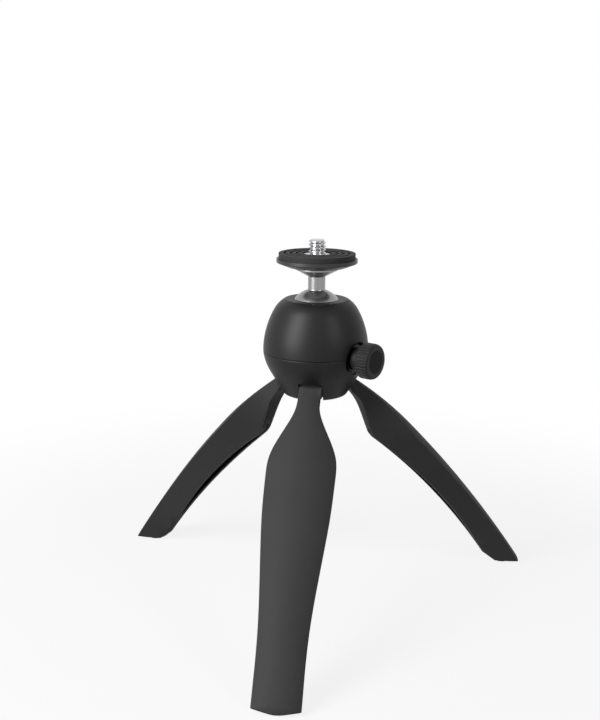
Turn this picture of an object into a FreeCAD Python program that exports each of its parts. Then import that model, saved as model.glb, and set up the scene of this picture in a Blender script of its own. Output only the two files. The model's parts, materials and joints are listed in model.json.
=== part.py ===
"""Mini tripod: a ball head on three folding legs.

Millimetres, +Z up. The origin is where the camera screw leaves the top face of the rubber pad.
The front leg points along -Y. Heights inside the head are counted from its parting plane.
"""
import FreeCAD, Part
import os
import re
import Sketcher

V = FreeCAD.Vector

SIZES = [
    ("housing_radius", 19.75, "largest radius of the head, at the parting plane"),
    ("dome_height", 19.7, "upper housing above the parting plane"),
    ("dome_turn", 29, "degrees, lean of the dome's side where its shoulder starts"),
    ("dome_shoulder", 10.6, "radius of the dome's shoulder"),
    ("dome_top_turn", 60, "degrees, lean of the shoulder where it meets the flat top ring"),
    ("dome_edge_round", 0.6, "rounding of the dome's top edge"),
    ("rim_lip", 2.2, "thickness of the dome's inward lip"),
    ("rim_gap", 0.1, "gap between the lip and the ball"),
    ("bowl_depth", 16.6, "lower housing below the parting plane"),
    ("bowl_shoulder", 18.7, "radius of the bowl's curve under the parting plane"),
    ("bowl_lean", 6.5, "degrees, lean of the bowl's side at the parting plane"),
    ("bowl_slope", 31.2, "degrees, lean of the bowl's cone"),
    ("bowl_edge_round", 2.0, "rounding of the bowl's bottom edge"),
    ("parting_round", 0.35, "rounding of both edges at the parting plane"),
    ("bore_radius", 11.5, "bore in which the ball seat slides"),
    ("housing_wall", 3.75, "wall of the housing outside its screwed spigot"),
    ("spigot_length", 4.1, "spigot below the parting plane, down to the retainer plate"),
    ("plate_thickness", 1.5, "retainer plate over the hinge pins"),
    ("boss_radius", 3.0, "threaded boss under the retainer plate"),
    ("boss_length", 3.0, "length of that boss"),
    ("base_screw_radius", 1.5, "M3 screw from below"),
    ("base_head_radius", 2.75, "head of the M3 screw"),
    ("base_head_height", 1.8, "height of that head"),
    ("base_head_sink", 2.2, "depth of the counterbore for the head"),
    ("base_screw_clearance", 0.1, "radial clearance round the base screw and the boss"),
    ("ball_radius", 10.5, "steel ball"),
    ("ball_height", 13.1, "centre of the ball above the parting plane"),
    ("ball_clearance", 0.05, "radial clearance of the ball in its rings"),
    ("upper_ring_start", 1.0, "lower edge of the upper ring above the ball's centre"),
    ("neck_radius", 3.2, "neck of the ball"),
    ("flange_flare", 2.6, "height of the cone under that flange"),
    ("neck_round", 0.4, "rounding between the ball and the neck"),
    ("flange_radius", 8.0, "flange under the platform"),
    ("flange_thickness", 1.0, "edge of that flange"),
    ("platform_radius", 15.0, "camera platform"),
    ("platform_foot_radius", 11.0, "underside of the platform"),
    ("platform_thickness", 3.0, "thickness of the platform at its rim"),
    ("platform_flare", 1.6, "height of the platform's conical underside"),
    ("platform_edge_round", 0.4, "rounding of the platform's edges"),
    ("pad_radius", 14.2, "rubber pad"),
    ("pad_sink", 0.5, "depth to which the pad is let into the platform"),
    ("pad_proud", 2.0, "height of the pad above the platform's rim"),
    ("pad_hole_gap", 0.3, "gap between the pad's hole and the screw's collar"),
    ("pad_groove_width", 0.9, "width of the ring grooves in the pad"),
    ("pad_groove_depth", 0.5, "depth of those grooves"),
    ("pad_height", 36.7, "top face of the pad above the parting plane"),
    ("camera_screw_radius", 3.175, "1/4 inch 20 thread"),
    ("camera_screw_length", 5.0, "thread above the pad"),
    ("camera_screw_chamfer", 0.6, "chamfer at the end of the thread"),
    ("camera_collar_radius", 5.0, "collar that clamps the platform"),
    ("camera_collar_sink", 0.3, "top of the collar below the pad's face"),
    ("camera_shank_radius", 2.0, "M4 shank in the neck"),
    ("camera_shank_length", 9.0, "length of that shank"),
    ("seat_clearance", 0.05, "radial clearance of the ball seat and the friction cup"),
    ("seat_top", 8.6, "top of the ball seat above the parting plane"),
    ("seat_hole_radius", 7.6, "hole through the ball seat"),
    ("seat_wall", 1.15, "wall of the ball seat round the friction cup"),
    ("cup_floor", 5.2, "underside of the friction cup above the parting plane"),
    ("cup_height", 3.2, "height of the friction cup"),
    ("slide_clearance", 0.03, "play between sliding flat faces"),
    ("wedge_middle", 1.3, "wedge face above the parting plane, on the head's axis"),
    ("wedge_slope", 12, "degrees, slope of the wedge"),
    ("wedge_outer", 8.9, "end of the wedge on the knob's side, from the head's axis"),
    ("wedge_inner", 10.2, "other end of the wedge, from the head's axis"),
    ("wedge_width", 9.0, "width of the wedge"),
    ("nose_head_radius", 1.9, "head at the tip of the lock screw"),
    ("nose_head_length", 1.1, "length of that head"),
    ("nose_neck_radius", 1.2, "neck behind that head"),
    ("nose_neck_length", 1.5, "length of that neck"),
    ("nose_clearance", 0.08, "play of the tip in the wedge's slot"),
    ("lock_screw_radius", 3.0, "M6 lock screw"),
    ("lock_screw_clearance", 0.05, "radial clearance of the lock screw in its bush"),
    ("bush_radius", 3.6, "threaded bush"),
    ("bush_start", 12.0, "inner end of the bush, from the head's axis"),
    ("bush_flange_radius", 5.2, "flange of the bush"),
    ("bush_flange", 1.0, "thickness of that flange"),
    ("recess_radius", 6.3, "recess in the head round the knob's hub"),
    ("recess_depth", 2.45, "depth of that recess, in from the head's largest radius"),
    ("knob_gap", 0.4, "gap between the bush's flange and the knob's hub"),
    ("knob_hub_radius", 4.2, "hub of the knob"),
    ("knob_reach", 2.45, "inner face of the knurled band, out from the head's largest radius"),
    ("knob_band_length", 4.1, "length of the knurled band"),
    ("knob_crown_length", 0.9, "length of the smooth edge outside the band"),
    ("knob_radius", 6.6, "knurled band"),
    ("knob_band_chamfer", 0.3, "chamfer of the band's edges"),
    ("knob_crown_radius", 6.45, "smooth edge outside the band"),
    ("knob_crown_round", 0.85, "rounding of the outer face"),
    ("knurl_radius", 0.36, "radius of a knurl groove"),
    ("knurl_count", 34, "grooves round the knob"),
    ("knob_face_wall", 2.7, "wall between the end of the screw and the knob's outer face"),
    ("cap_radius", 4.3, "round inlay in the knob's outer face"),
    ("cap_thickness", 0.9, "thickness of that inlay"),
    ("knob_azimuth", 60, "degrees, from the front leg to the knob"),
    ("knob_drop", 0.4, "axis of the knob below the parting plane"),
    ("leg_spacing", 120, "degrees between the legs"),
    ("pivot_inset", 10.25, "hinge pin, in from the head's largest radius"),
    ("pivot_drop", 10.3, "hinge pin below the parting plane"),
    ("standing_height", 98.0, "parting plane above the floor"),
    ("pin_radius", 1.5, "hinge pin"),
    ("pin_length", 13.6, "length of a hinge pin"),
    ("pin_clearance", 0.05, "radial clearance of the leg on its pin"),
    ("finger_length", 2.0, "retainer finger along the pin"),
    ("slot_clearance", 0.2, "side play of a leg in its slot"),
    ("slot_lip_inset", 5.25, "inner side of the lip over the slot, in from the head's largest radius"),
    ("slot_lip_drop", 9.3, "top edge of the slot below the parting plane"),
    ("slot_gap", 0.3, "gap behind the leg's eye"),
    ("stop_gap", 0.05, "gap at the stop of the open leg"),
    ("open_angle", 43.5, "degrees, leg from folded to open"),
    ("eye_radius", 3.4, "eye of the leg round the pin"),
    ("stop_length", 3.2, "flat stop beside the eye"),
    ("neck_width", 8.3, "neck of the leg"),
    ("neck_arch", 22, "degrees, half angle of the neck's arched back"),
    ("back_arch", 34, "degrees, half angle of the leg's arched back"),
    ("neck_end", 10.5, "end of the straight neck, from the pin"),
    ("shoulder_width", 24.7, "widest place of the leg"),
    ("shoulder_place", 35.5, "start of the widest place, from the pin"),
    ("taper_place", 40.0, "start of the taper to the ankle, from the pin"),
    ("ankle_width", 16.5, "width of the leg at the ankle"),
    ("ankle_place", 104.0, "ankle, from the pin"),
    ("leg_reach", 126.0, "end of the blank from which the foot is cut"),
    ("back_crown", 7.25, "highest point of the leg's back, out from the pin"),
    ("back_crown_place", 46.0, "place of that point, from the pin"),
    ("back_bow", 6.4, "fall of the back between that point and the end"),
    ("back_dip", 2.9, "extra fall of the back at the pin"),
    ("keel_neck", 0.9, "inner edge of the blank at the neck, in from the pin"),
    ("keel_neck_flat", 3.7, "half width of that edge at the neck"),
    ("keel_shoulder", 8.6, "inner edge of the blank at the shoulder, in from the pin"),
    ("keel_ankle", 7.5, "inner edge of the blank at the ankle, in from the pin"),
    ("keel_flat", 1.8, "half width of that edge at the shoulder"),
    ("keel_flat_ankle", 0.8, "half width of that edge at the ankle"),
    ("leg_wall", 1.6, "wall of the leg"),
    ("hollow_inset", 1.3, "step in from the leg's edge to the hollow's, in walls"),
    ("hollow_edge", 0.2, "half width of the hollow's inner edge"),
    ("hollow_start", 26.0, "start of the hollow, from the pin"),
    ("hollow_end", 110.0, "end of the hollow, from the pin"),
    ("nape_place", 4.0, "start of the cut behind the neck, from the pin"),
    ("nape_depth", 2.6, "start of that cut, in from the pin"),
    ("lip_place", 9.0, "place where the inner edge leaves the neck, from the pin"),
    ("lip_height", -1.2, "that place, out from the pin"),
    ("elbow_place", 28.0, "elbow of the inner edge, from the pin"),
    ("elbow_depth", 7.0, "elbow of the inner edge, in from the pin"),
    ("elbow_round", 3.0, "length of the elbow's rounding on each side"),
    ("lip_curve", 235.0, "radius of the inner edge below the elbow"),
    ("heel_radius", 78.2, "start of the heel's slope, from the head's axis"),
    ("heel_height", 4.4, "start of the heel's slope, above the floor"),
    ("sole_start", 83.4, "inner end of the sole, from the head's axis"),
    ("sole_end", 90.8, "outer end of the sole, from the head's axis"),
    ("sole_proud", 0.4, "rubber foot below the sole"),
    ("sole_arch", 28.0, "radius of the sole across the leg"),
    ("sole_skim", 0.1, "height of the sole's middle above the edge cut"),
    ("toe_round", 1.8, "rounding of the toe"),
    ("toe_slope", 55, "degrees, slope of the leg's back at the toe"),
    ("foot_radius", 3.2, "rubber foot"),
    ("foot_height", 3.0, "height of the rubber foot"),
]

LEGS = [("front_leg", 0), ("right_leg", 1), ("left_leg", -1)]
NECK_STATIONS = 2
SHOULDER_STATIONS = 6
TAPER_STATIONS = 5
ANKLE_STATIONS = 2
HOLLOW_STATIONS = 7
PAD_GROOVES = 3

doc = FreeCAD.newDocument("mini_tripod")
sheet = doc.addObject("Spreadsheet::Sheet", "Sizes")
for row, (alias, value, note) in enumerate(SIZES, start=1):
    sheet.set("A%d" % row, alias)
    sheet.set("B%d" % row, str(value))
    sheet.set("C%d" % row, note)
    sheet.setAlias("B%d" % row, alias)
doc.recompute()

# Places that follow from the sizes above, each written once.
PLACES = {
    "spigot_radius": "(housing_radius - housing_wall)",
    "dome_side": "((dome_height + dome_shoulder * (sin(dome_turn * 1 deg)"
                 " - sin(dome_top_turn * 1 deg))) / sin(dome_turn * 1 deg))",
    "dome_shoulder_place": "(housing_radius - dome_side * (1 - cos(dome_turn * 1 deg)))",
    "dome_shoulder_height": "(dome_side * sin(dome_turn * 1 deg))",
    "dome_top_radius": "(dome_shoulder_place - dome_shoulder * (cos(dome_turn * 1 deg)"
                       " - cos(dome_top_turn * 1 deg)))",
    "recess_floor": "(housing_radius - recess_depth)",
    "knob_start": "(housing_radius + knob_reach)",
    "knob_band_end": "(knob_start + knob_band_length)",
    "knob_end": "(knob_band_end + knob_crown_length)",
    "knob_bore_end": "(knob_end - knob_face_wall)",
    "pivot_radius": "(housing_radius - pivot_inset)",
    "slot_lip_radius": "(housing_radius - slot_lip_inset)",
    "platform_top": "(pad_height - ball_height - pad_proud)",
    "platform_bottom": "(platform_top - platform_thickness)",
    "collar_bottom": "(platform_top - pad_sink)",
    "shank_end": "(collar_bottom - camera_shank_length)",
    "neck_top": "(platform_bottom - flange_thickness - flange_flare)",
}
NAME = r"\b([a-z]+_[a-z_]+)\b"

parts = []


def bound(expression):
    """The expression with each place written out and each size pointing at its cell."""
    text = str(expression)
    while any(name in PLACES for name in re.findall(NAME, text)):
        text = re.sub(NAME, lambda found: PLACES.get(found.group(1), found.group(1)), text)
    return re.sub(NAME, r"Sizes.\1", text)


def value(expression):
    return float(sheet.evalExpression(bound(expression)))


def plane(body, role):
    return [feature for feature in body.Origin.OriginFeatures if feature.Role == role][0]


def new_body(label):
    body = doc.addObject("PartDesign::Body", label)
    body.Label = label
    parts.append(body)
    return body


def new_sketch(body, name, role, offset=None):
    """A sketch on one of the body's origin planes, moved along its normal by an expression."""
    sketch = body.newObject("Sketcher::SketchObject", name)
    sketch.AttachmentSupport = [(plane(body, role), "")]
    sketch.MapMode = "FlatFace"
    if offset is not None:
        sketch.setExpression("AttachmentOffset.Base.z", bound(offset))
    return sketch


def hold(sketch, geometry, point, corner):
    """Tie one point of the sketch to the pair of expressions in corner."""
    for kind, axis, expression in (("DistanceX", -2, corner[0]), ("DistanceY", -1, corner[1])):
        if expression == "0":
            sketch.addConstraint(Sketcher.Constraint("PointOnObject", geometry, point, axis))
            continue
        index = sketch.addConstraint(
            Sketcher.Constraint(kind, -1, 1, geometry, point, value(expression)))
        sketch.setExpression("Constraints[%d]" % index, bound(expression))


def arc_between(start, end, radius, turn):
    """An arc from start to end. turn is 1 for anticlockwise and -1 for clockwise."""
    chord = end - start
    across = V(-chord.y, chord.x, 0).normalize()
    rise = max(radius ** 2 - (chord.Length / 2) ** 2, 0) ** 0.5
    centre = (start + end) / 2 + across * (rise * turn)
    middle = centre - across * (radius * turn)
    return Part.Arc(start, middle, end)


def outline(sketch, corners, arcs=None):
    """A closed outline. corners are pairs of expressions. arcs gives, for an edge's number,
    the expression of its radius and its turn."""
    arcs = arcs or {}
    places = [V(value(x), value(y), 0) for x, y in corners]
    count = len(corners)
    first = None
    ends = []
    for edge in range(count):
        start, end = places[edge], places[(edge + 1) % count]
        if edge in arcs:
            radius, turn = arcs[edge]
            curve = arc_between(start, end, value(radius), turn).toShape().Curve
            circle = Part.Circle(curve.Center, V(0, 0, 1), curve.Radius)
            low, high = (start, end) if turn > 0 else (end, start)
            arc = Part.ArcOfCircle(circle, circle.parameter(low), circle.parameter(high))
            geometry = sketch.addGeometry(arc, False)
            ends.append((geometry, 1, 2) if turn > 0 else (geometry, 2, 1))
        else:
            geometry = sketch.addGeometry(Part.LineSegment(start, end), False)
            ends.append((geometry, 1, 2))
        first = geometry if first is None else first
    for edge in range(count):
        geometry, start, end = ends[edge]
        following, next_start, unused = ends[(edge + 1) % count]
        sketch.addConstraint(
            Sketcher.Constraint("Coincident", geometry, end, following, next_start))
        hold(sketch, geometry, start, corners[edge])
    for edge, (radius, turn) in arcs.items():
        index = sketch.addConstraint(Sketcher.Constraint("Radius", ends[edge][0], value(radius)))
        sketch.setExpression("Constraints[%d]" % index, bound(radius))
    return sketch


def turned(body, name, corners, arcs=None, axis="V_Axis"):
    """A revolved outline, drawn in the XZ plane."""
    sketch = outline(new_sketch(body, name + "_profile", "XZ_Plane"), corners, arcs)
    feature = body.newObject("PartDesign::Revolution", name)
    feature.Profile = sketch
    feature.ReferenceAxis = (sketch, [axis])
    feature.Angle = 360
    return feature


def turned_away(body, name, corners, arcs=None, axis="V_Axis"):
    """A revolved cut, drawn in the XZ plane."""
    sketch = outline(new_sketch(body, name + "_profile", "XZ_Plane"), corners, arcs)
    feature = body.newObject("PartDesign::Groove", name)
    feature.Profile = sketch
    feature.ReferenceAxis = (sketch, [axis])
    feature.Angle = 360
    return feature


def rounded(body, name, base, radius, wanted):
    """A fillet on the edges of base for which wanted(edge) is true."""
    doc.recompute()
    names = ["Edge%d" % number for number, edge in enumerate(base.Shape.Edges, start=1)
             if wanted(edge)]
    feature = body.newObject("PartDesign::Fillet", name)
    feature.Base = (base, names)
    feature.setExpression("Radius", bound(radius))
    return feature


def ring_edge(radius, height):
    """True for a circular edge round Z of that radius and height."""
    def wanted(edge):
        centre = edge.CenterOfMass
        return (abs(centre.z - value(height)) < 0.01 and abs(edge.BoundBox.XMax - value(radius)) < 0.01)
    return wanted


def turn_to_knob(body, drop="0"):
    """Parts drawn along X are turned to the knob's side, and lowered by drop."""
    body.Placement = FreeCAD.Placement(V(0, 0, -value("pad_height")),
                                       FreeCAD.Rotation(V(0, 0, 1), value("knob_azimuth - 90")))
    body.setExpression("Placement.Base.z", bound("0 - %s - pad_height" % drop))
    body.setExpression("Placement.Rotation.Angle", bound("knob_azimuth - 90"))


def lift(body, height="0"):
    body.setExpression("Placement.Base.z", bound("%s - pad_height" % height))


def padded(body, name, sketch, length, feature_type="PartDesign::Pad"):
    """A pad or pocket of that whole length, half on each side of the sketch."""
    feature = body.newObject(feature_type, name)
    feature.Profile = sketch
    feature.SideType = "Symmetric"
    feature.setExpression("Length", bound(length))
    return feature


def repeated(body, name, originals, axis, count):
    """The originals, repeated round one of the body's origin axes."""
    doc.recompute()
    pattern = body.newObject("PartDesign::PolarPattern", name)
    pattern.Originals = originals
    pattern.Axis = (plane(body, axis), [""])
    pattern.Angle = 360
    pattern.Occurrences = count
    body.Tip = pattern
    return pattern


def knob_frame(distance):
    """A placement on the knob's axis whose Z points outward, in a body at the parting plane."""
    turn = FreeCAD.Rotation(V(0, 0, 1), value("knob_azimuth - 90"))
    tip = FreeCAD.Rotation(V(0, 1, 0), 90)
    place = turn.multVec(V(distance, 0, -value("knob_drop")))
    return FreeCAD.Placement(place, turn.multiply(tip))


def knob_opening(body, turned_by=0):
    """The bore for the bush and the recess round the knob's hub."""
    for name, start, radius in (("hub_recess", "recess_floor", "recess_radius"),
                                ("bush_bore", "bore_radius - knob_gap", "bush_radius")):
        hole = body.newObject("PartDesign::SubtractiveCylinder", body.Label + "_" + name)
        hole.setExpression("Radius", bound(radius))
        hole.setExpression("Height", bound("housing_radius - bore_radius + recess_radius"))
        back = FreeCAD.Placement(V(0, 0, 0), FreeCAD.Rotation(V(0, 0, 1), -turned_by))
        hole.Placement = back.multiply(knob_frame(value(start)))


def upper_housing():
    body = new_body("upper_housing")
    lip_underside = "dome_height - rim_lip"
    gap_sphere = "(ball_radius + rim_gap)"
    corners = [
        ("housing_radius", "0"),
        ("dome_shoulder_place", "dome_shoulder_height"),
        ("dome_top_radius", "dome_height"),
        ("sqrt(%s^2 - (dome_height - ball_height)^2)" % gap_sphere, "dome_height"),
        ("sqrt(%s^2 - (%s - ball_height)^2)" % (gap_sphere, lip_underside), lip_underside),
        ("bore_radius", lip_underside),
        ("bore_radius", "0 - spigot_length"),
        ("spigot_radius", "0 - spigot_length"),
        ("spigot_radius", "0"),
    ]
    shell = turned(body, "dome", corners,
                   {0: ("dome_side", 1), 1: ("dome_shoulder", 1), 3: (gap_sphere, -1)})
    top = rounded(body, "dome_edge", shell, "dome_edge_round",
                  ring_edge("dome_top_radius", "dome_height"))
    rounded(body, "dome_parting_edge", top, "parting_round", ring_edge("housing_radius", "0"))
    knob_opening(body)
    lift(body)


def lower_housing():
    body = new_body("lower_housing")
    seat = "0 - spigot_length - plate_thickness"
    lean, slope = "bowl_lean * 1 deg", "bowl_slope * 1 deg"
    drop = "bowl_shoulder * (sin(%s) - sin(%s))" % (slope, lean)
    cone_top = ("housing_radius - bowl_shoulder * (cos(%s) - cos(%s))" % (lean, slope),
                "0 - " + drop)
    foot = "%s - (bowl_depth - " + drop + ") * tan(bowl_slope * 1 deg)"
    corners = [
        ("0", seat),
        ("0", "0 - bowl_depth"),
        (foot % cone_top[0], "0 - bowl_depth"),
        cone_top,
        ("housing_radius", "0"),
        ("spigot_radius", "0"),
        ("spigot_radius", seat),
    ]
    bowl = turned(body, "bowl", corners, {3: ("bowl_shoulder", 1)})
    edge = rounded(body, "bowl_edge", bowl, "bowl_edge_round",
                   ring_edge(corners[2][0], "0 - bowl_depth"))
    rounded(body, "bowl_parting_edge", edge, "parting_round", ring_edge("housing_radius", "0"))

    ceiling = "eye_radius + stop_gap - pivot_drop"
    inner_end = "pivot_radius - eye_radius - slot_gap"
    below, outside = "0 - bowl_depth - slot_gap", "housing_radius + slot_gap"
    slot_profile = outline(new_sketch(body, "leg_slot_profile", "XZ_Plane"), [
        (inner_end, below), (inner_end, ceiling), ("slot_lip_radius", ceiling),
        ("slot_lip_radius", "0 - slot_lip_drop"), (outside, "0 - slot_lip_drop"),
        (outside, below)])
    slot = padded(body, "leg_slot", slot_profile, "neck_width + 2 * slot_clearance",
                  "PartDesign::Pocket")
    cradle_profile = outline(new_sketch(body, "pin_cradle_profile", "XZ_Plane"), [
        ("pivot_radius - pin_radius", "0 - pivot_drop"),
        ("pivot_radius", "0 - pivot_drop - pin_radius"),
        ("pivot_radius + pin_radius", "0 - pivot_drop"),
        ("pivot_radius + pin_radius", seat), ("pivot_radius - pin_radius", seat)],
        {0: ("pin_radius", 1), 1: ("pin_radius", 1)})
    cradle = padded(body, "pin_cradle", cradle_profile, "pin_length", "PartDesign::Pocket")
    repeated(body, "leg_slots", [slot, cradle], "Z_Axis", len(LEGS))

    boss_end = "(%s - boss_length)" % seat
    turned_away(body, "base_screw_bore", [
        ("0", "0 - bowl_depth - slot_gap"),
        ("base_head_radius + base_screw_clearance", "0 - bowl_depth - slot_gap"),
        ("base_head_radius + base_screw_clearance", "base_head_sink - bowl_depth"),
        ("base_screw_radius + base_screw_clearance", "base_head_sink - bowl_depth"),
        ("base_screw_radius + base_screw_clearance", boss_end),
        ("boss_radius + base_screw_clearance", boss_end),
        ("boss_radius + base_screw_clearance", seat + " + slot_gap"),
        ("0", seat + " + slot_gap")])
    knob_opening(body, turned_by=-90)
    body.Placement = leg_frame(0)
    lift(body)


def leg_frame(step):
    """A placement on the head's axis at the parting plane, with X along a leg."""
    angle = value("leg_spacing") * step - 90
    return FreeCAD.Placement(V(0, 0, -value("pad_height")), FreeCAD.Rotation(V(0, 0, 1), angle))


def retainer_plate():
    body = new_body("retainer_plate")
    underside = "(0 - spigot_length - plate_thickness)"
    boss_end = underside + " - boss_length"
    turned(body, "plate", [
        ("0", "0 - spigot_length"), ("spigot_radius", "0 - spigot_length"),
        ("spigot_radius", underside), ("boss_radius", underside), ("boss_radius", boss_end),
        ("base_screw_radius", boss_end), ("base_screw_radius", underside), ("0", underside)])
    pads = []
    for side in (1, -1):
        middle = "%d * (pin_length - finger_length) / 2" % side
        name = "finger_%s" % ("right" if side > 0 else "left")
        half = "(pin_radius - pin_clearance)"
        profile = outline(new_sketch(body, name + "_profile", "XZ_Plane", middle), [
            ("pivot_radius - " + half, underside), ("pivot_radius + " + half, underside),
            ("pivot_radius + " + half, "pin_radius - pivot_drop"),
            ("pivot_radius - " + half, "pin_radius - pivot_drop")])
        pads.append(padded(body, name, profile, "finger_length"))
    repeated(body, "fingers", pads, "Z_Axis", len(LEGS))
    body.Placement = leg_frame(0)
    lift(body)


def base_screw():
    body = new_body("base_screw")
    tip = "0 - spigot_length - plate_thickness"
    head_top = "base_head_sink - bowl_depth"
    turned(body, "screw", [
        ("0", head_top + " - base_head_height"),
        ("base_head_radius", head_top + " - base_head_height"), ("base_head_radius", head_top),
        ("base_screw_radius", head_top), ("base_screw_radius", tip), ("0", tip)])
    lift(body)


def hinge_pins():
    for name, step in LEGS:
        pin = doc.addObject("Part::Cylinder", name.replace("leg", "hinge_pin"))
        pin.Label = pin.Name
        pin.setExpression("Radius", bound("pin_radius"))
        pin.setExpression("Height", bound("pin_length"))
        start = V(value("pivot_radius"), value("pin_length") / 2, -value("pivot_drop"))
        lying = FreeCAD.Placement(start, FreeCAD.Rotation(V(1, 0, 0), 90))
        pin.Placement = leg_frame(step).multiply(lying)
        parts.append(pin)


def thread_bush():
    body = new_body("thread_bush")
    bore = "lock_screw_radius + lock_screw_clearance"
    turned(body, "bush", [
        ("bush_start", bore), ("bush_start", "bush_radius"), ("recess_floor", "bush_radius"),
        ("recess_floor", "bush_flange_radius"),
        ("recess_floor + bush_flange", "bush_flange_radius"),
        ("recess_floor + bush_flange", bore)], axis="H_Axis")
    turn_to_knob(body, "knob_drop")


def upper_ball_ring():
    body = new_body("upper_ball_ring")
    sphere = "(ball_radius + ball_clearance)"
    low, high = "ball_height + upper_ring_start", "dome_height - rim_lip"
    turned(body, "ring", [
        ("bore_radius", low), ("bore_radius", high),
        ("sqrt(%s^2 - (%s - ball_height)^2)" % (sphere, high), high),
        ("sqrt(%s^2 - upper_ring_start^2)" % sphere, low)], {2: (sphere, -1)})
    lift(body)


def wedge_line(place, play):
    """Height of the wedge's slope at a distance from the head's axis."""
    return "wedge_middle + %s + (%s) * tan(wedge_slope * 1 deg)" % (play, place)


def lock_wedge():
    body = new_body("lock_wedge")
    floor = "slide_clearance - spigot_length"
    profile = outline(new_sketch(body, "wedge_profile", "XZ_Plane"), [
        ("0 - wedge_inner", floor), ("wedge_outer", floor),
        ("wedge_outer", wedge_line("wedge_outer", "0")),
        ("0 - wedge_inner", wedge_line("0 - wedge_inner", "0"))])
    padded(body, "wedge", profile, "wedge_width")
    neck = "(nose_neck_radius + nose_clearance)"
    head = "(nose_head_radius + nose_clearance)"
    head_end = "(wedge_outer + slide_clearance - nose_neck_length + nose_clearance)"
    head_start = "(%s - nose_head_length - 2 * nose_clearance)" % head_end
    outside = "wedge_outer + nose_clearance"
    slot_profile = outline(new_sketch(body, "tip_slot_profile", "XY_Plane"), [
        (outside, "0 - " + neck), (outside, neck), (head_end, neck), (head_end, head),
        (head_start, head), (head_start, "0 - " + head), (head_end, "0 - " + head),
        (head_end, "0 - " + neck)])
    padded(body, "tip_slot", slot_profile, "4 * spigot_length", "PartDesign::Pocket")
    turn_to_knob(body)


def lock_screw():
    body = new_body("lock_screw")
    shoulder = "(wedge_outer + slide_clearance)"
    neck_start = "(%s - nose_neck_length)" % shoulder
    tip = "%s - nose_head_length" % neck_start
    turned(body, "screw_shank", [
        (tip, "0"), (tip, "nose_head_radius"), (neck_start, "nose_head_radius"),
        (neck_start, "nose_neck_radius"), (shoulder, "nose_neck_radius"),
        (shoulder, "lock_screw_radius"), ("knob_bore_end", "lock_screw_radius"),
        ("knob_bore_end", "0")], axis="H_Axis")
    turn_to_knob(body, "knob_drop")


def lock_knob():
    body = new_body("lock_knob")
    hub_start = "recess_floor + bush_flange + knob_gap"
    band_edge = "knob_radius - knob_band_chamfer"
    corners = [
        (hub_start, "lock_screw_radius"), (hub_start, "knob_hub_radius"),
        ("knob_start", "knob_hub_radius"), ("knob_start", band_edge),
        ("knob_start + knob_band_chamfer", "knob_radius"),
        ("knob_band_end - knob_band_chamfer", "knob_radius"), ("knob_band_end", band_edge),
        ("knob_band_end", "knob_crown_radius"),
        ("knob_end - knob_crown_round", "knob_crown_radius"),
        ("knob_end", "knob_crown_radius - knob_crown_round"), ("knob_end", "cap_radius"),
        ("knob_end - cap_thickness", "cap_radius"), ("knob_end - cap_thickness", "0"),
        ("knob_bore_end", "0"), ("knob_bore_end", "lock_screw_radius")]
    turned(body, "knob_form", corners, {8: ("knob_crown_round", -1)}, axis="H_Axis")
    sketch = new_sketch(body, "knurl_profile", "YZ_Plane", "(knob_start + knob_end) / 2")
    circle = sketch.addGeometry(
        Part.Circle(V(value("knob_radius"), 0, 0), V(0, 0, 1), value("knurl_radius")), False)
    hold(sketch, circle, 3, ("knob_radius", "0"))
    index = sketch.addConstraint(Sketcher.Constraint("Radius", circle, value("knurl_radius")))
    sketch.setExpression("Constraints[%d]" % index, bound("knurl_radius"))
    groove = padded(body, "knurl", sketch, "knob_end - knob_start", "PartDesign::Pocket")
    repeated(body, "knurls", [groove], "X_Axis", int(value("knurl_count")))
    turn_to_knob(body, "knob_drop")


def knob_cap():
    body = new_body("knob_cap")
    base = "knob_end - cap_thickness"
    turned(body, "inlay", [(base, "0"), (base, "cap_radius"), ("knob_end", "cap_radius"),
                           ("knob_end", "0")], axis="H_Axis")
    turn_to_knob(body, "knob_drop")


def ball_seat():
    body = new_body("ball_seat")
    outer = "(bore_radius - seat_clearance)"
    pocket = outer + " - seat_wall"
    shelf = "cup_floor - slide_clearance"
    turned(body, "seat_ring", [
        ("seat_hole_radius", "0 - spigot_length"), (outer, "0 - spigot_length"),
        (outer, "seat_top"), (pocket, "seat_top"), (pocket, shelf),
        ("seat_hole_radius", shelf)])
    ends = ("0 - bore_radius", "bore_radius")
    profile = outline(new_sketch(body, "seat_slope_profile", "XZ_Plane"), [
        (ends[0], "0 - spigot_length - slot_gap"), (ends[1], "0 - spigot_length - slot_gap"),
        (ends[1], wedge_line(ends[1], "slide_clearance")),
        (ends[0], wedge_line(ends[0], "slide_clearance"))])
    padded(body, "seat_slope", profile, "3 * bore_radius", "PartDesign::Pocket")
    turn_to_knob(body)


def friction_cup():
    body = new_body("friction_cup")
    outer = "bore_radius - seat_wall - 2 * seat_clearance"
    sphere = "(ball_radius + ball_clearance)"
    top = "(cup_floor + cup_height)"
    turned(body, "cup", [
        ("sqrt(%s^2 - (ball_height - cup_floor)^2)" % sphere, "cup_floor"),
        (outer, "cup_floor"), (outer, top),
        ("sqrt(%s^2 - (ball_height - %s)^2)" % (sphere, top), top)], {3: (sphere, -1)})
    lift(body)


def ball():
    body = new_body("ball")
    neck_foot = "sqrt(ball_radius^2 - neck_radius^2)"
    form = turned(body, "ball_form", [
        ("0", "0 - ball_radius"), ("neck_radius", neck_foot), ("neck_radius", "neck_top"),
        ("flange_radius", "platform_bottom - flange_thickness"),
        ("flange_radius", "platform_bottom"), ("camera_shank_radius", "platform_bottom"),
        ("camera_shank_radius", "shank_end"), ("0", "shank_end")], {0: ("ball_radius", 1)})
    rounded(body, "neck_fillet", form, "neck_round", ring_edge("neck_radius", neck_foot))
    lift(body, "ball_height")


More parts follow.
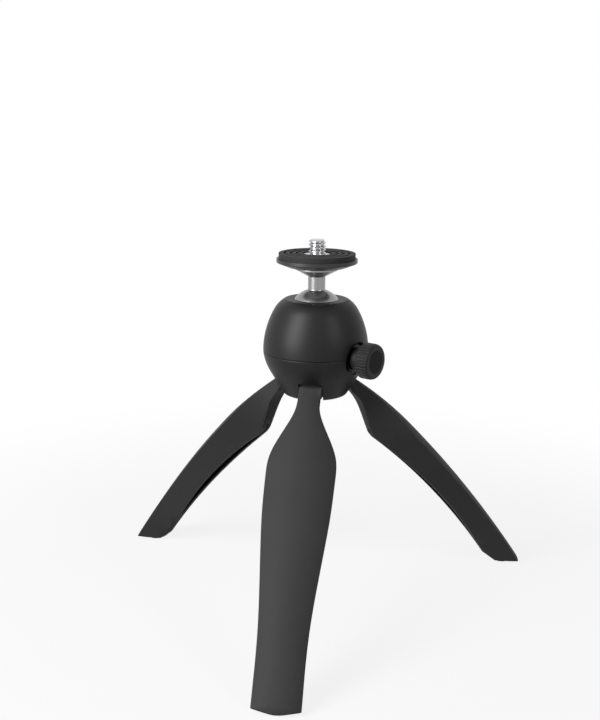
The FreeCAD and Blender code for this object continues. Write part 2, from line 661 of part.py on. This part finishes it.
def camera_platform():
    body = new_body("camera_platform")
    plate = turned(body, "platform", [
        ("camera_shank_radius", "platform_bottom"), ("platform_foot_radius", "platform_bottom"),
        ("platform_radius", "platform_bottom + platform_flare"),
        ("platform_radius", "platform_top"), ("pad_radius", "platform_top"),
        ("pad_radius", "collar_bottom"), ("camera_shank_radius", "collar_bottom")])
    rounded(body, "platform_edge", plate, "platform_edge_round",
            ring_edge("platform_radius", "platform_bottom + platform_flare"))
    lift(body, "ball_height")


def platform_pad():
    body = new_body("platform_pad")
    hole = "(camera_collar_radius + pad_hole_gap)"
    top = "platform_top + pad_proud"
    turned(body, "pad", [(hole, "collar_bottom"), ("pad_radius", "collar_bottom"),
                         ("pad_radius", top), (hole, top)])
    for number in range(1, PAD_GROOVES + 1):
        middle = "%s + (pad_radius - %s) * %d / %d" % (hole, hole, number, PAD_GROOVES + 1)
        near, far = middle + " - pad_groove_width / 2", middle + " + pad_groove_width / 2"
        turned_away(body, "pad_groove_%d" % number, [
            (near, top + " - pad_groove_depth"), (far, top + " - pad_groove_depth"),
            (far, top + " + pad_groove_depth"), (near, top + " + pad_groove_depth")])
    lift(body, "ball_height")


def camera_screw():
    body = new_body("camera_screw")
    collar_top = "platform_top + pad_proud - camera_collar_sink"
    end = "(platform_top + pad_proud + camera_screw_length)"
    turned(body, "stud", [
        ("0", "shank_end"), ("camera_shank_radius", "shank_end"),
        ("camera_shank_radius", "collar_bottom"), ("camera_collar_radius", "collar_bottom"),
        ("camera_collar_radius", collar_top), ("camera_screw_radius", collar_top),
        ("camera_screw_radius", end + " - camera_screw_chamfer"),
        ("camera_screw_radius - camera_screw_chamfer", end), ("0", end)])
    lift(body, "ball_height")


def ogee(place, start, end, low, high):
    """A soft step from low to high between two places along the leg."""
    share = "min(max((%s - %s) / (%s - %s); 0); 1)" % (place, start, end, start)
    return "(%s + (%s - %s) * (%s)^2 * (3 - 2 * %s))" % (low, high, low, share, share)


def along_leg(place, neck, shoulder, ankle):
    """A size of the leg's section that steps softly from the neck to the shoulder to the ankle."""
    return "(%s + %s)" % (ogee(place, "neck_end", "shoulder_place", neck, shoulder),
                          ogee(place, "taper_place", "ankle_place", "0",
                               "(%s - %s)" % (ankle, shoulder)))


def leg_section(place):
    """Half width, height of the back, rise of its arch, keel and half width of the keel."""
    half = along_leg(place, "neck_width", "shoulder_width", "ankle_width") + " / 2"
    back = ("(back_crown - back_bow * ((%s - back_crown_place)"
            " / (leg_reach - back_crown_place))^2"
            " - back_dip * (max(1 - %s / shoulder_place; 0))^2)" % (place, place))
    arch = ogee(place, "neck_end", "shoulder_place", "neck_arch", "back_arch")
    rise = "(%s * tan(%s / 2 * 1 deg))" % (half, arch)
    keel = "(0 - %s)" % along_leg(place, "keel_neck", "keel_shoulder", "keel_ankle")
    flat = along_leg(place, "keel_neck_flat", "keel_flat", "keel_flat_ankle")
    return "(%s)" % half, back, rise, keel, flat


def blank_outline(sketch, place):
    """The solid section: an arched back and two sides that lean in to a narrow keel."""
    half, back, rise, keel, flat = leg_section(place)
    edge = "%s - %s" % (back, rise)
    radius = "(%s^2 + %s^2) / (2 * %s)" % (half, rise, rise)
    return outline(sketch, [(edge, "0 - " + half), (edge, half), (keel, flat),
                            (keel, "0 - " + flat)], {0: (radius, 1)})


def hollow_outline(sketch, place):
    """The same section, one wall further in, and open or closed at the keel."""
    half, back, rise, keel, flat = leg_section(place)
    edge = "(%s - %s)" % (back, rise)
    lean = "((%s - %s) / (%s - %s))" % (half, flat, edge, keel)
    inner_half = "(%s - hollow_inset * leg_wall)" % half
    inner_back = "(%s - leg_wall)" % back
    inner_edge = "(%s + (hollow_inset - 1) * leg_wall / 2)" % edge
    inner_rise = "(%s - %s)" % (inner_back, inner_edge)
    inner_keel = "(%s + (leg_wall * sqrt(1 + %s^2) + hollow_edge - %s) / %s)" % (
        keel, lean, flat, lean)
    radius = "(%s^2 + %s^2) / (2 * %s)" % (inner_half, inner_rise, inner_rise)
    return outline(sketch, [(inner_edge, "0 - " + inner_half), (inner_edge, inner_half),
                            (inner_keel, "hollow_edge"), (inner_keel, "0 - hollow_edge")],
                   {0: (radius, 1)})


def stations(start, end, count):
    """Places between start and end, without the start."""
    return ["(%s + (%s - %s) * %d / %d)" % (start, end, start, number, count)
            for number in range(1, count + 1)]


def lofted(body, name, feature_type, places, draw):
    sketches = [draw(new_sketch(body, "%s_section_%d" % (name, number), "XY_Plane", "0 - " + place),
                     place) for number, place in enumerate(places, start=1)]
    doc.recompute()
    loft = body.newObject(feature_type, name)
    loft.Profile = sketches[0]
    loft.Sections = sketches[1:]
    return loft


def folded(out, up):
    """A point of the open leg, given outward and upward from the pin, as it lies when folded."""
    cosine, sine = "cos(open_angle * 1 deg)", "sin(open_angle * 1 deg)"
    return ("((%s) * %s + (%s) * %s)" % (out, cosine, up, sine),
            "((%s) * %s - (%s) * %s)" % (up, cosine, out, sine))


def on_floor(radius, height):
    """A point of the open leg, given from the head's axis and the floor."""
    return folded("%s - pivot_radius" % radius,
                  "%s - (standing_height - pivot_drop)" % height)


def inner_edge_cut(body, name):
    """The cut that gives the leg its inner edge, its elbow, its heel, its sole and its toe."""
    lip = ("lip_height", "0 - lip_place")
    elbow = ("0 - elbow_depth", "0 - elbow_place")
    heel = on_floor("heel_radius", "heel_height")
    before = "(elbow_round / (elbow_place - lip_place))"
    after = "(elbow_round / (ankle_place - elbow_place))"
    above = ("(%s + (%s - (%s)) * %s)" % (elbow[0], lip[0], elbow[0], before),
             "(%s + (%s - (%s)) * %s)" % (elbow[1], lip[1], elbow[1], before))
    below = ("(%s + (%s - (%s)) * %s)" % (elbow[0], heel[0], elbow[0], after),
             "(%s + (%s - (%s)) * %s)" % (elbow[1], heel[1], elbow[1], after))
    toe_out = "sole_end + toe_round * sin(toe_slope * 1 deg)"
    sole = "(sole_proud - sole_skim)"
    toe_up = sole + " + toe_round * (1 + cos(toe_slope * 1 deg))"
    toe = on_floor("(%s)" % toe_out, "(%s)" % toe_up)
    far_in, far_out = "0 - housing_radius", "housing_radius"
    end = "0 - leg_reach - housing_radius"
    return outline(new_sketch(body, name + "_edge_profile", "XZ_Plane"), [
        (far_in, "0 - nape_place"), ("0 - nape_depth", "0 - nape_place"), lip, above, below,
        heel, on_floor("sole_start", sole), on_floor("sole_end", sole), toe,
        (far_out, toe[1]), (far_out, end), (far_in, end)],
        {3: ("elbow_round * 5", 1), 4: ("lip_curve", -1), 7: ("toe_round", 1)})


def sole_cut(body, name):
    """The cut that arches the sole across the leg, drawn on the open leg's upright plane."""
    sketch = new_sketch(body, name + "_sole_profile", "YZ_Plane")
    upright = FreeCAD.Rotation(V(1, 0, 0), value("open_angle"))
    sketch.AttachmentOffset = FreeCAD.Placement(V(0, 0, 0), upright)
    sketch.setExpression("AttachmentOffset.Rotation.Angle", bound("open_angle"))
    middle = "sole_proud - (standing_height - pivot_drop)"
    side = "(%s + sole_arch - sqrt(sole_arch^2 - ankle_width^2))" % middle
    below = "(%s - ankle_width)" % middle
    return outline(sketch, [
        ("0 - ankle_width", side), ("ankle_width", side), ("ankle_width", below),
        ("0 - ankle_width", below)], {0: ("sole_arch", 1)})


def tongue_outline(sketch):
    """The eye round the pin, with the flat stop that meets the slot's ceiling."""
    stop_start = folded("0", "eye_radius")
    stop_end = folded("stop_length", "eye_radius")
    stop_foot = folded("stop_length + slot_gap", "eye_radius / 4")
    nape = ("0 - eye_radius * cos(open_angle / 2 * 1 deg)",
            "0 - eye_radius * sin(open_angle / 2 * 1 deg)")
    return outline(sketch, [stop_start, nape, ("0", "0 - nape_place - nape_depth"),
                            ("eye_radius", "0 - nape_place - nape_depth"), stop_foot, stop_end],
                   {0: ("eye_radius", 1)})


def leg(name, step):
    body = new_body(name)
    blank = ["nape_place"]
    blank += stations("nape_place", "neck_end", NECK_STATIONS)
    blank += stations("neck_end", "shoulder_place", SHOULDER_STATIONS)
    blank += ["taper_place"]
    blank += stations("taper_place", "ankle_place", TAPER_STATIONS)
    blank += stations("ankle_place", "leg_reach", ANKLE_STATIONS)
    lofted(body, name + "_blank", "PartDesign::AdditiveLoft", blank, blank_outline)
    hollow = ["hollow_start"] + stations("hollow_start", "hollow_end", HOLLOW_STATIONS)
    lofted(body, name + "_hollow", "PartDesign::SubtractiveLoft", hollow, hollow_outline)
    tongue = tongue_outline(new_sketch(body, name + "_tongue_profile", "XZ_Plane"))
    padded(body, name + "_tongue", tongue, "neck_width")
    padded(body, name + "_edge", inner_edge_cut(body, name), "2 * shoulder_width",
           "PartDesign::Pocket")
    padded(body, name + "_sole", sole_cut(body, name), "4 * leg_reach", "PartDesign::Pocket")
    hole = new_sketch(body, name + "_pin_hole_profile", "XZ_Plane")
    circle = hole.addGeometry(Part.Circle(V(0, 0, 0), V(0, 0, 1), value("pin_radius")), False)
    hole.addConstraint(Sketcher.Constraint("Coincident", circle, 3, -1, 1))
    index = hole.addConstraint(Sketcher.Constraint("Radius", circle, value("pin_radius")))
    hole.setExpression("Constraints[%d]" % index, bound("pin_radius + pin_clearance"))
    padded(body, name + "_pin_hole", hole, "2 * neck_width", "PartDesign::Pocket")
    socket = body.newObject("PartDesign::SubtractiveCylinder", name + "_foot_socket")
    socket.setExpression("Radius", bound("foot_radius"))
    socket.setExpression("Height", bound("foot_height"))
    middle = on_floor("(sole_start + sole_end) / 2", "0")
    upright = FreeCAD.Rotation(V(0, 1, 0), value("open_angle"))
    socket.Placement = FreeCAD.Placement(V(value(middle[0]), 0, value(middle[1])), upright)
    swing = FreeCAD.Rotation(V(0, 1, 0), -value("open_angle"))
    pivot = FreeCAD.Placement(V(value("pivot_radius"), 0, -value("pivot_drop")), swing)
    body.Placement = leg_frame(step).multiply(pivot)


def rubber_foot(name, step):
    foot = doc.addObject("Part::Cylinder", name.replace("leg", "rubber_foot"))
    foot.Label = foot.Name
    foot.setExpression("Radius", bound("foot_radius"))
    foot.setExpression("Height", bound("foot_height"))
    place = V(value("(sole_start + sole_end) / 2"), 0, -value("standing_height"))
    foot.Placement = leg_frame(step).multiply(FreeCAD.Placement(place, FreeCAD.Rotation()))
    parts.append(foot)


def check():
    """Stop if anything in the document failed or is not a sound solid."""
    failed = [item.Name for item in doc.Objects
              if "Invalid" in item.State or "Error" in item.State]
    if failed:
        raise SystemExit("failed objects: %s" % failed)
    broken = [part.Label for part in parts
              if part.Shape.isNull() or not part.Shape.isValid() or not part.Shape.Solids]
    if broken:
        raise SystemExit("not valid solids: %s" % broken)


for make in (upper_housing, lower_housing, retainer_plate, base_screw, hinge_pins, thread_bush,
             upper_ball_ring, lock_wedge, lock_screw, lock_knob, knob_cap, ball_seat,
             friction_cup, ball, camera_platform, platform_pad, camera_screw):
    make()
for leg_name, leg_step in LEGS:
    leg(leg_name, leg_step)
    rubber_foot(leg_name, leg_step)
doc.recompute()
check()
os.makedirs("parts", exist_ok=True)
for part in parts:
    part.Shape.exportStep(os.path.join("parts", part.Label + ".step"))
    print("%-20s %d solid, %.1f mm3" % (part.Label, len(part.Shape.Solids), part.Shape.Volume))
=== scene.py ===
"""Looks of the mini tripod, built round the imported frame. Metres, +Z up."""
import json
import math

import bpy
import bmesh
from mathutils import Matrix, Vector


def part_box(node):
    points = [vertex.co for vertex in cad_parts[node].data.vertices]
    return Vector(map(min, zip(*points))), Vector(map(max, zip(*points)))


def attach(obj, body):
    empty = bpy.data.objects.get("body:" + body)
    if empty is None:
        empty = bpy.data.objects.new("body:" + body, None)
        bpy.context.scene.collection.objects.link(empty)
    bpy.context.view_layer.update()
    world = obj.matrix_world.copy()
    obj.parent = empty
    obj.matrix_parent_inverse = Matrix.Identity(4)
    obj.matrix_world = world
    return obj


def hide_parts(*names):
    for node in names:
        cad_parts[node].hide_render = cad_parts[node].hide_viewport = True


MM = 0.001

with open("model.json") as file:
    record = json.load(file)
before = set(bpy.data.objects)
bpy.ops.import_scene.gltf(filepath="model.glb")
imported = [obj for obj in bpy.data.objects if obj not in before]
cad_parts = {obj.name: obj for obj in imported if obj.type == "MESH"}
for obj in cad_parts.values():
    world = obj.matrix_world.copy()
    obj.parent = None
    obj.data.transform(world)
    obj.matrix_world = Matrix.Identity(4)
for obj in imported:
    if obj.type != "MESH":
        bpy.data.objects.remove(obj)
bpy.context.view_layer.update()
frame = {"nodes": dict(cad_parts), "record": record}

FLOOR_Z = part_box("front_rubber_foot")[0][2]

# Direction of each leg, in degrees round from the front, seen from above
LEGS = {"front": 0, "right": 120, "left": -120}


# Camera

# The photograph's viewpoint, worked out from the outline of the tripod: millimetres and degrees
CAMERA_PLACE = (47.86, -392.59, 55.1)
CAMERA_TURN, CAMERA_PITCH, CAMERA_ROLL = 7.80, -13.6, 0.65
FOCAL_LENGTH, SENSOR_WIDTH = 54.0, 36.0
# Nearest and farthest distance in metres
CLIP_START, CLIP_END = 0.01, 20.0


def make_camera():
    """A camera that sees the tripod as the photograph does."""
    camera = bpy.data.objects.new("Camera", bpy.data.cameras.new("Camera"))
    bpy.context.scene.collection.objects.link(camera)
    camera.data.lens = FOCAL_LENGTH
    camera.data.sensor_width = SENSOR_WIDTH
    camera.data.clip_start, camera.data.clip_end = CLIP_START, CLIP_END
    camera.location = [coordinate * MM for coordinate in CAMERA_PLACE]
    camera.rotation_euler = (Matrix.Rotation(math.radians(CAMERA_TURN), 4, "Z")
                             @ Matrix.Rotation(math.pi / 2 + math.radians(CAMERA_PITCH), 4, "X")
                             @ Matrix.Rotation(math.radians(CAMERA_ROLL), 4, "Z")).to_euler()
    bpy.context.scene.camera = camera


# Materials

# Radius in mm of the softened edges, and the rays that find them
EDGE_RADIUS, EDGE_SAMPLES = 0.15, 6
# How strongly the grain shows, and how much coarser the mottling is
GRAIN_STRENGTH, MOTTLE_COARSENESS = 0.3, 40
# Sockets of the mix node that carry colours
MIX_FACTOR, MIX_FIRST, MIX_SECOND, MIX_RESULT = 0, 6, 7, 2


def shader_tree(name):
    """A new material with its node tree and its main shader."""
    material = bpy.data.materials.new(name)
    material.use_nodes = True
    tree = material.node_tree
    return material, tree, tree.nodes["Principled BSDF"]


def add(tree, kind, **values):
    """A new node, with its inputs and settings given by name."""
    node = tree.nodes.new(kind)
    for key, value in values.items():
        if key in node.inputs:
            node.inputs[key].default_value = value
        else:
            setattr(node, key, value)
    return node


def opaque(colour, share=1.0):
    """A colour as four channels, darker or lighter by a share."""
    return (*[channel * share for channel in colour], 1)


def grained(name, colour, roughness, grain=4500.0, depth=0.02, mottle=0.1, specular=0.5,
            metallic=0.0):
    """Moulded plastic, rubber or metal: softened edges, a fine grain, and slight mottling.
    The grain is a number of grains per metre, and its depth is in mm."""
    material, tree, shader = shader_tree(name)
    link = tree.links.new
    place = add(tree, "ShaderNodeTexCoord")
    fine = add(tree, "ShaderNodeTexNoise", Scale=grain, Detail=3.0, Roughness=0.6)
    broad = add(tree, "ShaderNodeTexNoise", Scale=grain / MOTTLE_COARSENESS, Detail=3.0)
    for texture in (fine, broad):
        link(place.outputs["Object"], texture.inputs["Vector"])
    soft = add(tree, "ShaderNodeBevel", Radius=EDGE_RADIUS * MM, samples=EDGE_SAMPLES)
    bump = add(tree, "ShaderNodeBump", Strength=GRAIN_STRENGTH, Distance=depth * MM)
    link(soft.outputs["Normal"], bump.inputs["Normal"])
    link(fine.outputs["Fac"], bump.inputs["Height"])
    link(bump.outputs["Normal"], shader.inputs["Normal"])
    tone = add(tree, "ShaderNodeMapRange")
    tone.inputs["To Min"].default_value = roughness * (1 - mottle)
    tone.inputs["To Max"].default_value = roughness * (1 + mottle)
    link(broad.outputs["Fac"], tone.inputs["Value"])
    link(tone.outputs["Result"], shader.inputs["Roughness"])
    tint = add(tree, "ShaderNodeMix", data_type="RGBA")
    tint.inputs[MIX_FIRST].default_value = opaque(colour, 1 - mottle)
    tint.inputs[MIX_SECOND].default_value = opaque(colour, 1 + mottle)
    link(broad.outputs["Fac"], tint.inputs[MIX_FACTOR])
    link(tint.outputs[MIX_RESULT], shader.inputs["Base Color"])
    shader.inputs["Specular IOR Level"].default_value = specular
    shader.inputs["Metallic"].default_value = metallic
    return material


# By slot: the name, colour and roughness of a material, and what else is its own
MATERIALS = {
    "housing": grained("soft_touch", (0.007, 0.007, 0.0073), 0.44, specular=0.17),
    "leg": grained("leg_plastic", (0.028, 0.028, 0.0286), 0.60, grain=3500.0, depth=0.03,
                   specular=0.06),
    # Knob and cap are one black plastic. The knob's colour, twice the cap's, is painted light on the
    # knurled band, which faces the left softbox. The cap's darker colour is painted shade on its face,
    # which turns away from that lamp
    "knob": grained("knob_plastic_painted_light", (0.012, 0.012, 0.0123), 0.40, specular=0.12),
    "knob_cap": grained("cap_plastic_painted_shade", (0.006, 0.006, 0.0062), 0.45, specular=0.05),
    # The ball's colour is darker than steel's own: painted shade for the dark surroundings that the
    # ball reflects
    "ball": grained("satin_steel_painted_shade", (0.28, 0.28, 0.285), 0.30, depth=0.002, mottle=0.03,
                    metallic=1.0),
    "platform": grained("anodised", (0.03, 0.03, 0.032), 0.4, metallic=0.6),
    "pad": grained("pad_rubber", (0.012, 0.012, 0.012), 0.75, depth=0.04, specular=0.25),
    "foot": grained("foot_rubber", (0.015, 0.015, 0.015), 0.8, depth=0.04, specular=0.25),
    "screw": grained("screw_steel", (0.5, 0.5, 0.51), 0.25, metallic=1.0),
    "inner_steel": grained("plain_steel", (0.4, 0.4, 0.41), 0.35, metallic=1.0),
    # The bush's near-black colour is painted shade for the recess behind the knob; the bush itself is
    # bright metal
    "bush": grained("bush_steel_painted_shade", (0.02, 0.02, 0.021), 0.35, metallic=1.0),
    "seat": grained("turned_alloy", (0.5, 0.5, 0.52), 0.35, metallic=1.0),
    "ball_lining": grained("natural_acetal", (0.7, 0.7, 0.66), 0.4),
}


def dress_nodes():
    """Each CAD node gets the material of its slot in the record."""
    slots = {entry["node"]: entry["material_slot"] for entry in frame["record"]["subparts"]}
    for name, node in frame["nodes"].items():
        node.data.materials.clear()
        node.data.materials.append(MATERIALS[slots[name]])


# Pieces that stand for CAD nodes

def stand_in(name, form, sharp_angle, body, slot, node):
    """A piece made of a form. It rides on a body, has the material of its slot, and replaces
    a node. Edges that turn by more than the sharp angle, in degrees, stay sharp."""
    bmesh.ops.recalc_face_normals(form, faces=form.faces)
    mesh = bpy.data.meshes.new(name)
    form.to_mesh(mesh)
    form.free()
    mesh.shade_smooth()
    mesh.set_sharp_from_angle(angle=math.radians(sharp_angle))
    mesh.materials.append(MATERIALS[slot])
    piece = bpy.data.objects.new(name, mesh)
    bpy.context.scene.collection.objects.link(piece)
    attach(piece, body)
    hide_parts(node)


# Turned pieces: heights and radii are in mm

# Facets round a turned piece, and its sharp angle
SEGMENTS, TURNED_SHARP_ANGLE = 72, 40


def lathe(name, rings, centre, body, slot, node):
    """A closed form round an upright axis through the centre, which is in metres. Each ring is
    a height and a radius, or a radius that depends on the angle."""
    form = bmesh.new()
    loops = []
    for height, radius in rings:
        loop = []
        for step in range(SEGMENTS):
            angle = 2 * math.pi * step / SEGMENTS
            reach = radius(angle) if callable(radius) else radius
            loop.append(form.verts.new((centre[0] + reach * MM * math.cos(angle),
                                        centre[1] + reach * MM * math.sin(angle), height * MM)))
        loops.append(loop)
    for lower, upper in zip(loops, loops[1:]):
        for step in range(SEGMENTS):
            following = (step + 1) % SEGMENTS
            form.faces.new((lower[step], lower[following], upper[following], upper[step]))
    form.faces.new(list(reversed(loops[0])))
    form.faces.new(loops[-1])
    stand_in(name, form, TURNED_SHARP_ANGLE, body, slot, node)


def height_range(node):
    """Lowest and highest point of a CAD node, in mm."""
    low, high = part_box(node)
    return low[2] / MM, high[2] / MM


# Rings of a thread in each pitch, and the shares of the pitch for its root and its flanks
THREAD_STEPS, ROOT_SHARE, FLANK_SHARE = 14, 0.14, 0.66


def thread_rings(low, high, outer, pitch, depth, chamfer):
    """Rings of a screw thread between two heights, with a chamfer at its upper end."""
    count = int((high - low) / pitch * THREAD_STEPS)
    rings = []
    for number in range(count + 1):
        height = low + (high - low) * number / count
        trim = max(height - (high - chamfer), 0)

        def radius(angle, height=height, trim=trim):
            share = (height / pitch - angle / (2 * math.pi)) % 1
            flank = min(max(abs(share - 0.5) * 2 - ROOT_SHARE, 0) / FLANK_SHARE, 1)
            return min(outer - depth * (1 - flank), outer - trim)
        rings.append((height, radius))
    return rings


def camera_screw():
    """The screw with its 1/4 inch thread, its collar and its shank."""
    low, high = height_range("camera_screw")
    shank, shank_chamfer = 2.0, 0.4
    collar, collar_low, collar_high = 5.0, -2.5, -0.3
    lower_chamfer, upper_chamfer = 0.2, 0.25
    neck, neck_height = 2.6, 0.05
    outer, pitch, depth, end_chamfer = 3.175, 1.27, 0.7, 0.6
    rings = [(low, shank - shank_chamfer), (low + shank_chamfer, shank),
             (collar_low, shank), (collar_low, collar - lower_chamfer),
             (collar_low + lower_chamfer, collar), (collar_high - upper_chamfer, collar),
             (collar_high, collar - upper_chamfer), (collar_high, neck)]
    rings += thread_rings(collar_high + neck_height, high, outer, pitch, depth, end_chamfer)
    lathe("threaded_camera_screw", rings, (0, 0), "camera_mount", "screw", "camera_screw")


def hexagon(across):
    """The radius of a hexagon of that width across its flats, by angle."""
    half_side = math.pi / 6
    return lambda angle: across / 2 / math.cos((angle + half_side) % (2 * half_side) - half_side)


def base_screw():
    """The screw that holds the housing together, with a hexagon socket in its head."""
    low, high = height_range("base_screw")
    head, head_height, shank, chamfer = 2.75, 1.8, 1.5, 0.3
    socket, socket_depth, socket_middle = 2.0, 1.1, 0.05
    mouth, mouth_depth = 2.2, 0.1
    socket_floor, head_top = low + socket_depth, low + head_height
    rings = [(socket_floor, socket_middle), (socket_floor, hexagon(socket)),
             (low + mouth_depth, hexagon(socket)), (low, hexagon(mouth)),
             (low, head - chamfer), (low + chamfer, head), (head_top, head),
             (head_top, shank), (high - chamfer, shank), (high, shank - chamfer)]
    lathe("socket_head_screw", rings, (0, 0), "head", "inner_steel", "base_screw")


def rubber_foot(side):
    """A round foot with a rounded lower edge and ring grooves underneath."""
    middle_radius, groove_depth, groove_slope = 0.5, 0.25, 0.05
    grooves = ((0.9, 1.3), (2.0, 2.4))
    rounding = ((0, 2.9), (0.09, 3.1), (0.3, 3.19))
    node = side + "_rubber_foot"
    low, top = height_range(node)
    rings = [(low, middle_radius)]
    for inner, outer in grooves:
        rings += [(low, inner), (low + groove_depth, inner + groove_slope),
                  (low + groove_depth, outer - groove_slope), (low, outer)]
    rings += [(low + rise, radius) for rise, radius in rounding]
    rings.append((top, rounding[-1][1]))
    corner, opposite = (Vector(point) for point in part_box(node))
    middle = (corner + opposite) / 2
    lathe(node + "_grooved", rings, (middle.x, middle.y), side + "_leg", "foot", node)


# Legs: lengths are in mm and angles in degrees

# How far the toe reaches from the axis of the head
TOE_REACH = 92.25
# Radius of the toe's end seen from above, and of its rounded lower edge
TOE_ARC, TOE_EDGE = 21.0, 1.4
# Height of that edge above the floor at the middle, and how it rises with the sideways distance squared
TOE_UNDERSIDE, TOE_BOW = 0.4, 0.012
# Directions of the flat cuts: sideways from straight ahead, and down from level
TOE_SWEEPS, TOE_TILTS = range(-21, 22, 3), (0, 20, 40, 55)
# Vertices nearer than the first are one, and those nearer to a cut than the second lie in it
WELD, CUT_TOLERANCE = 0.001, 0.0001
LEG_SHARP_ANGLE = 25


def cut_off(form, place, outward):
    """Takes off what lies outside a plane, and closes the cut. The place is in mm."""
    everything = form.verts[:] + form.edges[:] + form.faces[:]
    cut = bmesh.ops.bisect_plane(form, geom=everything, dist=CUT_TOLERANCE * MM,
                                 plane_co=place * MM, plane_no=outward, clear_outer=True)
    rim = [piece for piece in cut["geom_cut"]
           if isinstance(piece, bmesh.types.BMEdge) and piece.is_boundary]
    if rim:
        bmesh.ops.edgenet_fill(form, edges=rim)


def round_toe(side, azimuth):
    """The CAD leg with a rounder toe: flat cuts round an arc seen from above, and at several
    tilts for the rounding of its lower edge, leave the curved end that the photograph shows."""
    node = side + "_leg"
    turn = Matrix.Rotation(math.radians(azimuth), 3, "Z")
    form = bmesh.new()
    form.from_mesh(frame["nodes"][node].data)
    bmesh.ops.remove_doubles(form, verts=form.verts, dist=WELD * MM)
    inner_arc = TOE_ARC - TOE_EDGE
    for sweep in TOE_SWEEPS:
        angle = math.radians(sweep)
        offset = inner_arc * math.sin(angle)
        centre = Vector((offset, TOE_ARC - TOE_REACH - inner_arc * math.cos(angle),
                         FLOOR_Z / MM + TOE_UNDERSIDE + TOE_BOW * offset ** 2 + TOE_EDGE))
        for tilt in TOE_TILTS:
            drop = math.radians(tilt)
            outward = Vector((math.sin(angle) * math.cos(drop), -math.cos(angle) * math.cos(drop),
                              -math.sin(drop)))
            place = centre + outward * TOE_EDGE
            cut_off(form, turn @ place, turn @ outward)
    stand_in(side + "_round_toed_leg", form, LEG_SHARP_ANGLE, node, "leg", node)


# Stage: lengths are in metres

WHITE = (1, 1, 1, 1)
FLOOR_SIZE = 12
# How far the floor lies under the feet, so that it doesn't touch them
FLOOR_GAP = 0.0001
FLOOR_COLOUR, FLOOR_ROUGHNESS = (0.5, 0.5, 0.5), 0.9
# The floor is this white under the tripod, and fades to white between two distances from it
FLOOR_WHITENESS, FADE_START, FADE_END = 0.85, 0.10, 0.30
# Strength of the light from all round
ROOM_LIGHT = 0.12
# The lamps are turned to the parting line of the head
LAMP_AIM = (0, 0, -36.7 * MM)
# Name, degrees round from the front, height and distance of the lamp, its size, and its power in watts
LAMPS = (
    ("softbox_left", -45, 0.32, 0.75, (0.40, 0.8), 14.5),
    ("softbox_right", 53, 0.40, 0.8, (0.14, 0.5), 2.4),
)


def white_when_seen(tree, shader, white, amount=None):
    """A shader that camera and glossy rays see as white, wholly or by an amount."""
    link = tree.links.new
    path = add(tree, "ShaderNodeLightPath")
    seen = add(tree, "ShaderNodeMath", operation="MAXIMUM")
    link(path.outputs["Is Camera Ray"], seen.inputs[0])
    link(path.outputs["Is Glossy Ray"], seen.inputs[1])
    factor = seen.outputs["Value"]
    if amount is not None:
        share = add(tree, "ShaderNodeMath", operation="MULTIPLY")
        link(amount, share.inputs[0])
        link(factor, share.inputs[1])
        factor = share.outputs["Value"]
    blend = add(tree, "ShaderNodeMixShader")
    link(factor, blend.inputs["Fac"])
    link(shader, blend.inputs[1])
    link(white, blend.inputs[2])
    return blend.outputs["Shader"]


def make_floor():
    """A pale floor that fades to plain white away from the object."""
    bpy.ops.mesh.primitive_plane_add(size=FLOOR_SIZE, location=(0, 0, FLOOR_Z - FLOOR_GAP))
    floor = bpy.context.object
    floor.name = "floor"
    material, tree, shader = shader_tree("pale_floor")
    shader.inputs["Base Color"].default_value = opaque(FLOOR_COLOUR)
    shader.inputs["Roughness"].default_value = FLOOR_ROUGHNESS
    place = add(tree, "ShaderNodeTexCoord")
    apart = add(tree, "ShaderNodeVectorMath", operation="LENGTH")
    fade = add(tree, "ShaderNodeMapRange", interpolation_type="SMOOTHSTEP")
    fade.inputs["From Min"].default_value = FADE_START
    fade.inputs["From Max"].default_value = FADE_END
    fade.inputs["To Min"].default_value = FLOOR_WHITENESS
    white = add(tree, "ShaderNodeEmission", Strength=1.0)
    tree.links.new(place.outputs["Object"], apart.inputs[0])
    tree.links.new(apart.outputs["Value"], fade.inputs["Value"])
    surface = white_when_seen(tree, shader.outputs["BSDF"], white.outputs["Emission"],
                              fade.outputs["Result"])
    tree.links.new(surface, tree.nodes["Material Output"].inputs["Surface"])
    floor.data.materials.append(material)


def make_room():
    """Soft light from all round, in front of a white backdrop."""
    world = bpy.data.worlds.new("studio")
    bpy.context.scene.world = world
    world.use_nodes = True
    tree = world.node_tree
    light = tree.nodes["Background"]
    light.inputs["Color"].default_value = WHITE
    light.inputs["Strength"].default_value = ROOM_LIGHT
    backdrop = add(tree, "ShaderNodeBackground", Color=WHITE, Strength=1.0)
    surface = white_when_seen(tree, light.outputs["Background"], backdrop.outputs["Background"])
    tree.links.new(surface, tree.nodes["World Output"].inputs["Surface"])


def make_lamp(name, azimuth, height, distance, size, power):
    """A softbox at an angle from the front, turned to the head."""
    lamp = bpy.data.objects.new(name, bpy.data.lights.new(name, "AREA"))
    bpy.context.scene.collection.objects.link(lamp)
    lamp.data.shape = "RECTANGLE"
    lamp.data.size, lamp.data.size_y = size
    lamp.data.energy = power
    turn = math.radians(azimuth)
    lamp.location = (distance * math.sin(turn), -distance * math.cos(turn), height)
    aim = Vector(LAMP_AIM) - lamp.location
    lamp.rotation_euler = aim.to_track_quat("-Z", "Y").to_euler()


make_camera()
dress_nodes()
camera_screw()
base_screw()
for side in LEGS:
    rubber_foot(side)
for side, azimuth in LEGS.items():
    round_toe(side, azimuth)
make_floor()
make_room()
for lamp in LAMPS:
    make_lamp(*lamp)
bpy.context.scene.view_settings.view_transform = "Standard"
